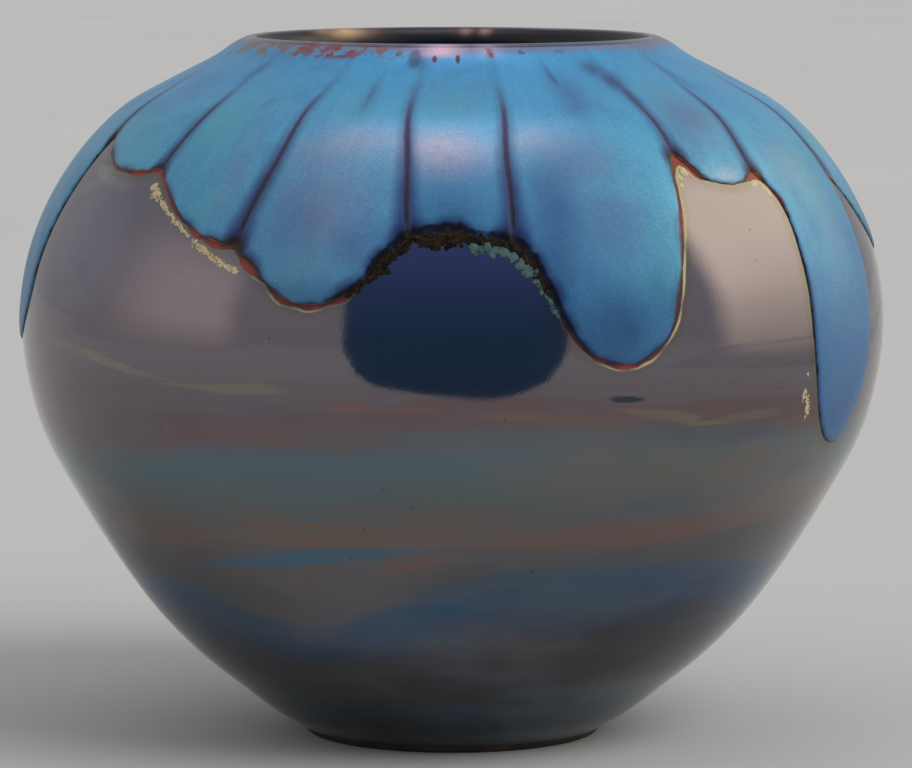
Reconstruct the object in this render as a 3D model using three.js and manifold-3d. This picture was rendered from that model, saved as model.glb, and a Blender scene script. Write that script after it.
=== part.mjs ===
// A thrown stoneware vase: a globe that closes in to a narrow rolled lip and stands on a small foot ring.
// The clay wall carries a lustre ground glaze outside, a liner glaze inside, a glaze band over the lip,
// and a curtain of thick blue overglaze that has run down from the lip in separate tongues.
// Millimetres, +Z up. The origin is the centre of the foot, on the surface the vase stands on.
// Angles are in degrees round the axis: 0 is the front, facing -Y, and 90 is the +X side.
// Depths are distances along the outer surface, down from the crest of the lip.
import * as THREE from "three";
import { mergeVertices } from "three/addons/utils/BufferGeometryUtils.js";
import Module from "manifold-3d";

const wasm = await Module();
wasm.setup();

// Driving dimensions
const HEIGHT = 162.5;
const BELLY_RADIUS = 100;
const BELLY_HEIGHT = 95.9;
const LIP_RADIUS = 46.5; // of the lip's crest
const MOUTH_RADIUS = 43.4;
const FOOT_RADIUS = 34.2;
const FOOT_RING_WIDTH = 7;
const FOOT_RECESS = 3;
const FOOT_BEVEL = 0.8;
const FLOOR_HEIGHT = 9; // of the inside of the base
const GLAZE = 0.7; // thickness of each glaze coat
const RUN = 0.8; // thickness of the blue overglaze
const GAP = 0.3; // between the layers
const RUN_TOP = 6.5; // depth at which the blue overglaze starts, just outside the lip
const FACETS = 40; // round the axis
const BLOCK_STEP = 12; // longest facet of a block that cuts a run out, down the wall
const BLOCK_REACH = 4; // of such a block, each way from the surface
const MERGE = 1e-4; // vertices closer than this are one

// The section of the finished surface: up the outside from the foot, over the lip, down the inside to the
// middle of the floor. Each pair is a radius and a height.
const OUTSIDE = [
  [FOOT_RADIUS, 0],
  [35.6, 2],
  [42.4, 6.1],
  [50.1, 12.1],
  [60, 20.2],
  [69.6, 30.3],
  [78.4, 42.4],
  [87.2, 56.6],
  [94.8, 70.7],
  [98.6, 83.8],
  [BELLY_RADIUS, BELLY_HEIGHT],
  [98.9, 108.1],
  [95.6, 119.2],
  [90.5, 129.3],
  [83.8, 138.4],
  [75.3, 146.4],
  [64.5, 152.5],
  [54.8, 157.5],
  [50.4, 160.9],
];
const CREST = [LIP_RADIUS, HEIGHT];
const INSIDE = [
  [43.9, 160.8],
  [MOUTH_RADIUS, 157.8],
  [46.5, 153.2],
  [60.8, 145.5],
  [77.9, 133.2],
  [88.3, 116.3],
  [92.1, 96],
  [90.4, 82],
  [84.5, 67.5],
  [74.5, 51],
  [63.5, 35.3],
  [50, 22],
  [36, 13.2],
  [20, 9.8],
  [0, FLOOR_HEIGHT],
];

const section = new THREE.SplineCurve(
  [...OUTSIDE, CREST, ...INSIDE].map(([r, z]) => new THREE.Vector2(r, z)),
);
const LAST = section.points.length - 1;

// Stations: the drawn points of the section, counted from the foot, where one layer ends and the next
// begins
const GLAZE_LINE = 1;
const RUNS_FOOT = 7; // below the tip of the longest run
const CREST_INDEX = OUTSIDE.length;
const BAND_FOOT = CREST_INDEX - 1;
const BAND_THROAT = CREST_INDEX + 2;
const BUTT = 0.06; // share of a span left open where two coats meet end to end

// The seams between neighbouring runs, round the vase: the angle at the lip, halfway down and at the notch
// where the two runs part, and the notch's depth. The last seam is the first one again, a full turn on.
const SEAMS = [
  [-98, -97.5, -97, 55],
  [-75, -72, -69.4, 41],
  [-49.5, -47, -48, 49],
  [-24.8, -26.3, -29.5, 65.5],
  [-6.6, -7.2, -5.8, 63],
  [9.8, 8.6, 8, 64.3],
  [36, 35.7, 35.6, 44],
  [56.5, 52, 49.7, 49.8],
  [75, 74.2, 73, 53],
  [95, 96.5, 97, 57],
  [117, 115.5, 116, 52],
  [135, 136.5, 137, 54],
  [157, 156, 155, 50],
  [174, 175.5, 176, 55],
  [198, 197.5, 197, 49],
  [216, 217.5, 217, 56],
  [240, 238.5, 239, 53],
  [262, 262.5, 263, 55],
];

// The free lower edge of each run, from its left notch to its right one: angle and depth of each point.
const EDGES = [
  [[-95.5, 68], [-93, 84], [-88, 94], [-82.5, 93], [-78, 88.5], [-75, 82.5], [-73, 70],
    [-71, 55.5], [-70, 46]],
  [[-67, 43.8], [-64, 46.8], [-60, 49.3], [-56.5, 50.2], [-52, 50]],
  [[-45.5, 52.5], [-42, 57.5], [-38, 62.5], [-34, 65.3], [-31.5, 66.4]],
  [[-28.3, 69], [-25, 73.3], [-22, 77.5], [-18.5, 79], [-14.5, 77.5], [-11.5, 73.5], [-8.5, 67.5]],
  [[-3, 62.4], [0, 62], [4, 63.6]],
  [[10, 68], [12.3, 75.5], [14.7, 84.5], [17.5, 89.5], [21.5, 92], [25.5, 90.2], [28.4, 85],
    [30, 77], [31.5, 67], [33, 56], [34.2, 48]],
  [[37.2, 47.2], [39, 50.5], [44, 52.5], [47.5, 51.5]],
  [[52.2, 55], [53.1, 62], [53.2, 85], [54.6, 98], [57, 107.5], [60, 113], [63.5, 114.8],
    [67, 111.5], [70, 101], [71.4, 82], [72, 63]],
  [[75.5, 57], [80.5, 66], [85, 71], [90, 74], [94.5, 69]],
  [[98.5, 66], [100, 81], [103.5, 96], [108, 101], [112, 95], [114, 78], [115, 62]],
  [[118, 57], [122, 64], [127, 67.5], [132, 66], [135.5, 60]],
  [[138.5, 63], [140, 78], [143, 92], [147, 97], [151, 90], [153.5, 74], [154.5, 60]],
  [[157, 56], [161, 63], [166, 68], [171, 67], [174.5, 61]],
  [[177.5, 65], [179.5, 79], [183, 88], [187.5, 90], [192, 84], [195, 70], [196.3, 58]],
  [[199, 54], [203, 59.5], [208, 62], [213, 60]],
  [[218.5, 67], [220.5, 84], [224, 103], [229, 110], [234, 102], [237, 82], [238.3, 64]],
  [[241, 59], [245, 66], [250, 70.5], [256, 68], [260.5, 61]],
];

// Materials
const bareClay = new THREE.MeshStandardMaterial({ color: 0x4a3a30, roughness: 0.85, metalness: 0 });
const lustre = new THREE.MeshStandardMaterial({ color: 0x756c74, roughness: 0.12, metalness: 0.6 });
const liner = new THREE.MeshStandardMaterial({ color: 0x2a2c3a, roughness: 0.2, metalness: 0.3 });
const lipGlaze = new THREE.MeshStandardMaterial({ color: 0x8f8fae, roughness: 0.25, metalness: 0.2 });
const blueGlaze = new THREE.MeshStandardMaterial({ color: 0x4a8fb8, roughness: 0.35, metalness: 0.1 });

// A point of the section at parameter t, moved into the wall by a depth, or out of it by a negative one.
function sectionPoint(t, depth) {
  const point = section.getPoint(t);
  const tangent = section.getTangent(t);
  return new THREE.Vector2(point.x - tangent.y * depth, point.y + tangent.x * depth);
}

// Points of the section from one station to another, at a depth in the wall: both ends and every drawn
// point between them.
function sectionPath(first, last, depth) {
  const path = [sectionPoint(first / LAST, depth)];
  for (let i = Math.floor(first) + 1; i < last; i += 1) path.push(sectionPoint(i / LAST, depth));
  path.push(sectionPoint(last / LAST, depth));
  return path;
}

// The distance along the section to each of its evenly spaced parameters, for finding depths below the
// crest.
const ARC_STEPS = LAST * 40;
const arcs = section.getLengths(ARC_STEPS);
const crestArc = arcs[(CREST_INDEX / LAST) * ARC_STEPS];

// The section's parameter at a depth below the crest, on the outside.
function parameterAt(depth) {
  const arc = crestArc - depth;
  const next = arcs.findIndex((length) => length > arc);
  const share = (arc - arcs[next - 1]) / (arcs[next] - arcs[next - 1]);
  return (next - 1 + share) / ARC_STEPS;
}

// A point of the outer surface at an angle and a depth below the crest, lifted off the surface.
function surfacePoint(angle, depth, lift) {
  const { x: radius, y: height } = sectionPoint(parameterAt(depth), -lift);
  const turn = THREE.MathUtils.degToRad(angle);
  return new THREE.Vector3(radius * Math.sin(turn), -radius * Math.cos(turn), height);
}

function meshOf(name, geometry, material) {
  const mesh = new THREE.Mesh(geometry, material);
  mesh.name = name;
  return mesh;
}

// A solid of revolution about +Z from a profile of radius and height.
function turned(name, profile, material) {
  const geometry = new THREE.LatheGeometry(profile, FACETS);
  geometry.rotateX(Math.PI / 2);
  return meshOf(name, geometry, material);
}

// A glaze coat that covers the section from one station to another.
function coat(name, first, last, material) {
  const face = sectionPath(first, last, 0);
  const back = sectionPath(first, last, GLAZE).reverse();
  return turned(name, [...face, ...back, face[0]], material);
}

// The clay: the wall under the glaze, the bare foot ring and the recess inside it.
function clayBody() {
  const wall = sectionPath(GLAZE_LINE, LAST - 1, GLAZE + GAP);
  const innerFoot = FOOT_RADIUS - FOOT_RING_WIDTH;
  const profile = [
    new THREE.Vector2(0, FOOT_RECESS),
    new THREE.Vector2(innerFoot - FOOT_RECESS / 2, FOOT_RECESS),
    new THREE.Vector2(innerFoot, 0),
    new THREE.Vector2(FOOT_RADIUS - FOOT_BEVEL, 0),
    new THREE.Vector2(FOOT_RADIUS, FOOT_BEVEL),
    ...wall,
    new THREE.Vector2(0, FLOOR_HEIGHT - GLAZE - GAP),
  ];
  return turned("clay_body", profile, bareClay);
}

// The inside glaze, from under the lip band to the middle of the floor, where it closes on the axis.
function linerCoat(first) {
  const face = sectionPath(first, LAST - 1, 0);
  const back = sectionPath(first, LAST - 1, GLAZE);
  const profile = [
    new THREE.Vector2(0, FLOOR_HEIGHT - GLAZE),
    ...back.reverse(),
    ...face,
    new THREE.Vector2(0, FLOOR_HEIGHT),
  ];
  return turned("inner_liner_glaze", profile, liner);
}

// The angle of a seam at a depth: a bend through its three angles, then straight down below the notch.
function seamAngle([lip, middle, notch, notchDepth], depth) {
  const v = THREE.MathUtils.clamp((depth - RUN_TOP) / (notchDepth - RUN_TOP), 0, 1);
  return lip * (1 - v) * (1 - 2 * v) + middle * 4 * v * (1 - v) + notch * v * (2 * v - 1);
}

// The free edge of a run as a row of angles and depths, one for each drawn point and both notches.
function edgeOf(left, right, points) {
  const notches = [[left[2], left[3]], [right[2], right[3]]];
  return [notches[0], ...points, notches[1]];
}

// A closed block over one run's outline, thick enough to cut the run out of the shell of overglaze. Every
// column keeps its share of the width between the two seams on the way down.
function runBlock(left, right, points) {
  const edge = edgeOf(left, right, points);
  const deepest = Math.max(...edge.map(([, depth]) => depth));
  const rows = Math.ceil((deepest - RUN_TOP) / BLOCK_STEP);
  const columns = edge.length - 1;
  const positions = [];
  for (const lift of [-BLOCK_REACH, BLOCK_REACH]) {
    for (let i = 0; i <= columns; i += 1) {
      const [angle, depth] = edge[i];
      const share = (angle - left[2]) / (right[2] - left[2]);
      const inset = i === 0 ? GAP / 2 : i === columns ? -GAP / 2 : 0;
      for (let j = 0; j <= rows; j += 1) {
        const down = RUN_TOP + ((depth - RUN_TOP) * j) / rows;
        const turn = THREE.MathUtils.lerp(seamAngle(left, down), seamAngle(right, down), share);
        const radius = sectionPoint(parameterAt(down), 0).x;
        const angleIn = THREE.MathUtils.radToDeg(inset / radius);
        positions.push(...surfacePoint(turn + angleIn, down, lift).toArray());
      }
    }
  }
  const across = rows + 1;
  const under = (columns + 1) * across;
  const indices = [];
  const quad = (a, b, c, d) => indices.push(a, b, c, a, c, d);
  for (let i = 0; i < columns; i += 1) {
    const top = i * across;
    const bottom = top + rows;
    for (let j = 0; j < rows; j += 1) {
      const a = top + j;
      quad(a, a + across, a + across + 1, a + 1);
      quad(under + a, under + a + 1, under + a + across + 1, under + a + across);
    }
    quad(top, under + top, under + top + across, top + across);
    quad(bottom, bottom + across, under + bottom + across, under + bottom);
  }
  for (let j = 0; j < rows; j += 1) {
    const far = columns * across + j;
    quad(j, j + 1, under + j + 1, under + j);
    quad(far, under + far, under + far + 1, far + 1);
  }
  const geometry = new THREE.BufferGeometry();
  geometry.setAttribute("position", new THREE.Float32BufferAttribute(positions, 3));
  geometry.setIndex(indices);
  return geometry;
}

// A closed geometry as a solid for cutting.
function solidOf(geometry) {
  const bare = geometry.clone();
  bare.deleteAttribute("normal");
  bare.deleteAttribute("uv");
  const merged = mergeVertices(bare, MERGE);
  return new wasm.Manifold(
    new wasm.Mesh({
      numProp: 3,
      vertProperties: merged.attributes.position.array,
      triVerts: new Uint32Array(merged.index.array),
    }),
  );
}

// A solid as a geometry again.
function geometryOf(solid) {
  const { vertProperties, triVerts } = solid.getMesh();
  const geometry = new THREE.BufferGeometry();
  geometry.setAttribute("position", new THREE.BufferAttribute(vertProperties, 3));
  geometry.setIndex(new THREE.BufferAttribute(triVerts, 1));
  geometry.computeVertexNormals();
  return geometry;
}

// The whole curtain of overglaze before it is parted into runs, held just off the lustre under it.
function overglazeShell() {
  const face = sectionPath(RUNS_FOOT, BAND_FOOT, -GAP - RUN);
  const back = sectionPath(RUNS_FOOT, BAND_FOOT, -GAP).reverse();
  return solidOf(turned("overglaze", [...face, ...back, face[0]], blueGlaze).geometry);
}

// One run of blue overglaze, from the lip down to its free edge.
function blueRun(name, shell, left, right, points) {
  const run = shell.intersect(solidOf(runBlock(left, right, points)));
  return meshOf(name, geometryOf(run), blueGlaze);
}

const vase = new THREE.Group();
vase.add(clayBody());
vase.add(coat("ground_lustre_glaze", GLAZE_LINE, BAND_FOOT - BUTT, lustre));
vase.add(coat("lip_glaze_band", BAND_FOOT, BAND_THROAT, lipGlaze));
vase.add(linerCoat(BAND_THROAT + BUTT));
const shell = overglazeShell();
EDGES.forEach((points, i) => {
  const name = `blue_glaze_run_${String(i + 1).padStart(2, "0")}`;
  vase.add(blueRun(name, shell, SEAMS[i], SEAMS[i + 1], points));
});

export default vase;
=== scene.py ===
import math
import random

import bmesh
import bpy
import numpy as np
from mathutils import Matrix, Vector
from mathutils.geometry import delaunay_2d_cdt
from mathutils.kdtree import KDTree


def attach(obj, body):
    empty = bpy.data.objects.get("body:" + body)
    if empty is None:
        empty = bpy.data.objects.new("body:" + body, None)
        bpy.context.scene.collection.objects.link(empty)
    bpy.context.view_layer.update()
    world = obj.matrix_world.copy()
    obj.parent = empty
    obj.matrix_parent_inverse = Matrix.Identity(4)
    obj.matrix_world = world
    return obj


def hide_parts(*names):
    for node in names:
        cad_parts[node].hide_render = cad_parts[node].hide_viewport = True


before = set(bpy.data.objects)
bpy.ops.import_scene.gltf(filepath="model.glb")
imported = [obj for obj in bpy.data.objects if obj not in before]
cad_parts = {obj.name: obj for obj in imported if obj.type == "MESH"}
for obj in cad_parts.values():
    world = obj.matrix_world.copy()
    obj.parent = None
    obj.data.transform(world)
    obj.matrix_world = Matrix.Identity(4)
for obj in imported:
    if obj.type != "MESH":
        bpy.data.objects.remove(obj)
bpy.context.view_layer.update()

MM = 0.001

# The section of the finished surface, as radius and height: up the outside from the foot, over the crest
# of the lip, and down the inside to the middle of the floor.
OUTSIDE = [
    (34.2, 0), (35.6, 2), (42.4, 6.1), (50.1, 12.1), (60, 20.2), (69.6, 30.3), (78.4, 42.4), (87.2, 56.6),
    (94.8, 70.7), (98.6, 83.8), (100, 95.9), (98.9, 108.1), (95.6, 119.2), (90.5, 129.3), (83.8, 138.4),
    (75.3, 146.4), (64.5, 152.5), (54.8, 157.5), (50.4, 160.9),
]
CREST = [(46.5, 162.5)]
INSIDE = [
    (43.9, 160.8), (43.4, 157.8), (46.5, 153.2), (60.8, 145.5), (77.9, 133.2), (88.3, 116.3), (92.1, 96),
    (90.4, 82), (84.5, 67.5), (74.5, 51), (63.5, 35.3), (50, 22), (36, 13.2), (20, 9.8), (0, 9),
]
SPAN_STEPS = 40

INSIDE_FLOOR = INSIDE[-1][1]
# The clay's own section under the foot, from the middle of the recess out to the wall
FOOT = [
    (0, 3.2), (8, 3.1), (16, 2.9), (22, 2.8), (24.6, 2.6), (26, 1.9), (26.8, 0.9), (27.4, 0.25), (28.2, 0),
    (30.5, 0.06), (32.6, 0), (33.6, 0.15), (34.15, 0.6), (34.6, 1.2),
]
# The seams between neighbouring runs: the angle at the lip, halfway down and at the notch, and the depth
# of the notch.
SEAMS = [
    (-98, -97.5, -97, 55), (-75, -72, -69.4, 41), (-49.5, -47, -48, 49), (-24.8, -26.3, -29.5, 65.5),
    (-6.6, -7.2, -5.8, 63), (9.8, 8.6, 8, 64.3), (36, 35.7, 35.6, 44), (56.5, 52, 49.7, 49.8),
    (75, 74.2, 73, 53), (95, 96.5, 97, 57), (117, 115.5, 116, 52), (135, 136.5, 137, 54),
    (157, 156, 155, 50), (174, 175.5, 176, 55), (198, 197.5, 197, 49), (216, 217.5, 217, 56),
    (240, 238.5, 239, 53), (262, 262.5, 263, 55),
]
# The free lower edge of each run between its two notches: angle and depth of each point.
EDGES = [
    [(-95.5, 68), (-93, 84), (-88, 94), (-82.5, 93), (-78, 88.5), (-75, 82.5), (-73, 70), (-71, 55.5),
     (-70, 46)],
    [(-67, 43.8), (-64, 46.8), (-60, 49.3), (-56.5, 50.2), (-52, 50)],
    [(-45.5, 52.5), (-42, 57.5), (-38, 62.5), (-34, 65.3), (-31.5, 66.4)],
    [(-28.3, 69), (-25, 73.3), (-22, 77.5), (-18.5, 79), (-14.5, 77.5), (-11.5, 73.5), (-8.5, 67.5)],
    [(-3, 62.4), (0, 62), (4, 63.6)],
    [(10, 68), (12.3, 75.5), (14.7, 84.5), (17.5, 89.5), (21.5, 92), (25.5, 90.2), (28.4, 85), (30, 77),
     (31.5, 67), (33, 56), (34.2, 48)],
    [(37.2, 47.2), (39, 50.5), (44, 52.5), (47.5, 51.5)],
    [(52.2, 55), (53.1, 62), (53.2, 85), (54.6, 98), (57, 107.5), (60, 113), (63.5, 114.8), (67, 111.5),
     (70, 101), (71.4, 82), (72, 63)],
    [(75.5, 57), (80.5, 66), (85, 71), (90, 74), (94.5, 69)],
    [(98.5, 66), (100, 81), (103.5, 96), (108, 101), (112, 95), (114, 78), (115, 62)],
    [(118, 57), (122, 64), (127, 67.5), (132, 66), (135.5, 60)],
    [(138.5, 63), (140, 78), (143, 92), (147, 97), (151, 90), (153.5, 74), (154.5, 60)],
    [(157, 56), (161, 63), (166, 68), (171, 67), (174.5, 61)],
    [(177.5, 65), (179.5, 79), (183, 88), (187.5, 90), (192, 84), (195, 70), (196.3, 58)],
    [(199, 54), (203, 59.5), (208, 62), (213, 60)],
    [(218.5, 67), (220.5, 84), (224, 103), (229, 110), (234, 102), (237, 82), (238.3, 64)],
    [(241, 59), (245, 66), (250, 70.5), (256, 68), (260.5, 61)],
]

# Layers
GLAZE = 0.7  # thickness of each coat
UNDER = 0.3  # gap between a coat and what is under it
RUN_THICK = 0.48
RUN_TIP_THICK = 0.14  # more, where a run has pooled above its free edge
POOL_PLACE = 4.5  # how far above its free edge a run has pooled most, and over what reach
POOL_REACH = 3.5
POOL_DEPTHS = (30, 60)  # depths between which the pooling sets in
RUN_TOP = 2.6  # depth at which the overglaze rises out of the lip glaze
RUN_FULL = 10  # depth at which it has its full thickness
RUN_SUNK = 0.12  # how far its back lies in the lustre
FREE_ROUND = 1.25  # width of the rounding along a free edge
SEAM_ROUND = 1.3  # and of the rounding down into a seam
SEAM_FLOOR = 0.4  # share of the thickness left at the bottom of a seam
SEAM_DEPTHS = (20, 46)  # depths between which the seams sink to that
LUSTRE_FOOT_GAP = 2.2  # bare clay at the foot, along the wall
LUSTRE_TOP_EDGE = 4.0  # depth at which the lustre starts, under the runs
BAND_REACH = 6.5  # of the lip glaze, down each side of the crest
BAND_SUNK = 0.02  # how far its ends lie under the finished surface
BAND_SWELL_OUT, BAND_SWELL_IN = 0.05, 0.04  # how much further out its middle stands
LINER_TOP = 5.2  # depth at which the liner starts, inside
LINER_MIDDLE = 1.5  # how near the middle of the floor the liner's last row comes, and the clay's
CLAY_MIDDLE = 3
BAND_ROWS, BAND_ROWS_INSIDE, LINER_ROWS, WALL_ROWS, INSIDE_ROWS = 34, 26, 120, 110, 90
SEAM_WAVER = 1.1  # sideways waver of a seam, in degrees
SEAM_WAVES = 11
EDGE_WAVER = 0.04  # waver of a free edge, up and down
RAGGED = (-13, 13)  # angles between which the free edge is torn into teeth
RAGGED_TEETH = 0.55
CRUMB_FLAT = 0.42  # height of a crumb, as a share of its width
CRUMB_LIFT = 0.02
CRUMB_SIZES = (0.55, 1.35)  # the least and the most, as shares of a row's size
CRUMB_STRETCH = (0.8, 1.3)
CRUMB_LUMPS = 0.22

# Meshes
SHEET_SCALE = 90  # flat millimetres per radian, for the flat layout that the triangles are made in
GRID = 2.1  # spacing of the points away from any edge, in the lustre and then in the runs
RUN_GRID = 1.3
RUN_GRID_RADIUS = 92
OUTLINE_STEP = 0.75  # spacing along the edges, and of the finer points that distances are taken to
TREE_STEP = 0.2
# Distances from an edge of the rings of points that follow it. Those below 0 lie under the runs
RUN_RINGS = (0.12, 0.35, 0.7, 1.1, 1.6, 2.3, 3.2)
LUSTRE_RINGS = (-0.8, 0.0, 0.5, 0.9, 1.25, 1.6, 2.0, 2.6, 3.4, 4.5)
COLUMNS = 288
SHARP_ANGLE = 62  # edges sharper than this, in degrees, are not smoothed


# -------------------- the section


def spline(points, steps=SPAN_STEPS):
    """A uniform Catmull-Rom curve through points, with its ends doubled."""
    p = np.array([points[0], *points, points[-1]], float)
    t = np.linspace(0, 1, steps, endpoint=False)[:, None]
    spans = []
    for a, b, c, d in zip(p, p[1:], p[2:], p[3:]):
        start, end = (c - a) / 2, (d - b) / 2
        cubic = 2 * b - 2 * c + start + end
        square = -3 * b + 3 * c - 2 * start - end
        spans.append(cubic * t**3 + square * t**2 + start * t + b)
    return np.vstack(spans + [p[-1:]])


class Wall:
    """One side of the section: radius, height and normal against the depth from the crest."""

    def __init__(self, points, side):
        step = np.diff(points, axis=0)
        self.depths = np.concatenate([[0], np.cumsum(np.hypot(step[:, 0], step[:, 1]))])
        self.points = points
        slope = np.gradient(points, self.depths, axis=0)
        slope /= np.hypot(slope[:, 0], slope[:, 1])[:, None]
        self.normals = side * np.stack([-slope[:, 1], slope[:, 0]], 1)
        self.length = self.depths[-1]

    def section(self, depth, lift=0.0):
        r, z, nr, nz = (np.interp(depth, self.depths, v) for v in (*self.points.T, *self.normals.T))
        return r + lift * nr, z + lift * nz

    def radius(self, depth):
        return np.interp(depth, self.depths, self.points[:, 0])

    def place(self, angle, depth, lift=0.0):
        """Points in millimetres at angles and depths, lifted off the surface."""
        r, z = self.section(depth, lift)
        turn = np.radians(angle)
        return np.stack([r * np.sin(turn), -r * np.cos(turn), z], -1)

    def normal(self, angle, depth):
        nr, nz = (np.interp(depth, self.depths, v) for v in self.normals.T)
        length = np.hypot(nr, nz)
        turn = np.radians(angle)
        return np.stack([nr * np.sin(turn), -nr * np.cos(turn), nz], -1) / length[:, None]


whole = spline(OUTSIDE + CREST + INSIDE)
crest = len(OUTSIDE) * SPAN_STEPS
outer = Wall(whole[: crest + 1][::-1], 1)
inner = Wall(whole[crest:], -1)


# -------------------- the outlines


def smoothstep(low, high, value):
    t = np.clip((value - low) / (high - low), 0, 1)
    return t * t * (3 - 2 * t)


def resampled(line, step):
    """A line of angles and depths again, with its points evenly spaced along the wall."""
    middle = (line[1:] + line[:-1]) / 2
    across = np.radians(np.diff(line[:, 0])) * outer.radius(middle[:, 1])
    length = np.concatenate([[0], np.cumsum(np.hypot(across, np.diff(line[:, 1])))])
    marks = np.linspace(0, length[-1], max(3, round(length[-1] / step) + 1))
    return np.stack([np.interp(marks, length, line[:, 0]), np.interp(marks, length, line[:, 1])], 1)


def seam_line(seam, step):
    """A seam from the top of the runs down to its notch."""
    lip, middle, notch, notch_depth = seam
    v = np.linspace(0, 1, 80)
    angle = lip * (1 - v) * (1 - 2 * v) + middle * 4 * v * (1 - v) + notch * v * (2 * v - 1)
    angle = angle + SEAM_WAVER * np.sin(v * SEAM_WAVES + lip) * v * (1 - v)
    return resampled(np.stack([angle, RUN_TOP + (notch_depth - RUN_TOP) * v], 1), step)


def free_edge(i, step):
    """The free edge of run i, from its left notch to its right one."""
    left, right = SEAMS[i], SEAMS[i + 1]
    points = [(left[2], left[3]), *EDGES[i], (right[2], right[3])]
    line = resampled(spline(points, 24), TREE_STEP)
    along = np.arange(len(line)) * TREE_STEP
    ends = np.minimum(along, along[-1] - along)
    waver = EDGE_WAVER * (np.sin(along * 1.9 + i * 2.1) + np.sin(along * 3.7 + i))
    first, last = RAGGED
    torn = smoothstep(first, first + 4, line[:, 0]) * smoothstep(last, last - 3, line[:, 0])
    teeth = RAGGED_TEETH * torn * (np.sin(along * 2.6 + 1) + np.sin(along * 4.3 + i * 3) - 0.4)
    line[:, 1] += (waver + teeth) * smoothstep(0, 3, ends)
    return resampled(line, step)


def outline(step):
    """The free edges of all the runs in a row, once round the vase."""
    return np.vstack([free_edge(i, step)[:-1] for i in range(len(EDGES))])


def tree_of(line):
    """A search tree of the nearest point on a line of angles and depths."""
    points = outer.place(line[:, 0], line[:, 1])
    tree = KDTree(len(points))
    for i, p in enumerate(points):
        tree.insert(p, i)
    tree.balance()
    return tree


def distances(tree, spots):
    return np.array([tree.find(p)[2] for p in outer.place(spots[:, 0], spots[:, 1])])


def offset(line, distance, side):
    """The points of a line moved sideways along the wall by a distance."""
    radius = outer.radius(line[:, 1])
    across = np.gradient(np.radians(line[:, 0])) * radius
    down = np.gradient(line[:, 1])
    length = np.hypot(across, down)
    angle = line[:, 0] - side * np.degrees(down / length * distance / radius)
    return np.stack([angle, line[:, 1] + side * across / length * distance], 1)


def within(spots, loop):
    """Which spots lie inside a closed loop of angles and depths."""
    inside = np.zeros(len(spots), bool)
    x, y = spots.T
    for (ax, ay), (bx, by) in zip(loop, np.roll(loop, -1, 0)):
        crosses = (ay > y) != (by > y)
        if crosses.any():
            at = ax + (y - ay) * (bx - ax) / (by - ay if by != ay else 1)
            inside ^= crosses & (x < at)
    return inside


def triangles(spots, border):
    """The triangles between spots, inside the border that their first points make where it is given."""
    flat = [Vector((math.radians(a) * SHEET_SCALE, d)) for a, d in spots]
    if border:
        loop = flat[:border]
        area = sum(a.x * b.y - b.x * a.y for a, b in zip(loop, loop[1:] + loop[:1]))
        ring = list(range(border))
        faces = [ring if area > 0 else ring[::-1]]
        found = delaunay_2d_cdt(flat, [], faces, 1, 1e-5, False)
    else:
        found = delaunay_2d_cdt(flat, [], [], 0, 1e-5, False)
    points = np.array([(v.x, v.y) for v in found[0]])
    points[:, 0] = np.degrees(points[:, 0] / SHEET_SCALE)
    faces = [tuple(f) for f in found[2]]
    if border:
        # slivers between a hollow of the border and its chord lie outside it
        middles = points[np.array(faces)].mean(1)
        faces = [f for f, good in zip(faces, within(middles, spots[:border])) if good]
    return points, faces


def slab(front, back, faces):
    """A closed solid from a front sheet, a back sheet with the same triangles, and a rim between them."""
    count = len(front)
    used = {}
    for f in faces:
        for a, b in zip(f, f[1:] + f[:1]):
            used[(a, b)] = used.get((a, b), 0) + 1
    rim = [(b, a, a + count, b + count) for a, b in used if (b, a) not in used]
    backs = [tuple(v + count for v in reversed(f)) for f in faces]
    return np.vstack([front, back]), list(faces) + backs + rim


def both_sides(values):
    """The values at the points of a sheet, given again to the back of its slab."""
    return {name: np.concatenate([numbers, numbers]) for name, numbers in values.items()}


def outward(points, faces):
    """The faces, turned round if the solid that they make is inside out."""
    volume = 0.0
    for f in faces:
        a = points[f[0]]
        for j in range(1, len(f) - 1):
            volume += np.dot(a, np.cross(points[f[j]], points[f[j + 1]]))
    return faces if volume > 0 else [tuple(reversed(f)) for f in faces]


def revolved(profile, columns, closed):
    """A solid of revolution from radii and heights: a ring if closed, else with both ends on the axis."""
    turn = np.linspace(0, 2 * math.pi, columns, endpoint=False)
    rows = profile if closed else profile[1:-1]
    points = [(r * math.sin(t), -r * math.cos(t), z) for r, z in rows for t in turn]
    count = len(rows)
    faces = []
    for j in range(count if closed else count - 1):
        this, below = j * columns, ((j + 1) % count) * columns
        for i in range(columns):
            k = (i + 1) % columns
            faces.append((this + i, this + k, below + k, below + i))
    if not closed:
        first, last = len(points), len(points) + 1
        points += [(0, 0, profile[0][1]), (0, 0, profile[-1][1])]
        bottom = (count - 1) * columns
        for i in range(columns):
            k = (i + 1) % columns
            faces += [(first, k, i), (last, bottom + i, bottom + k)]
    return np.array(points, float), faces


def new_object(name, data):
    made = bpy.data.objects.new(name, data)
    bpy.context.scene.collection.objects.link(made)
    return made


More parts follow.
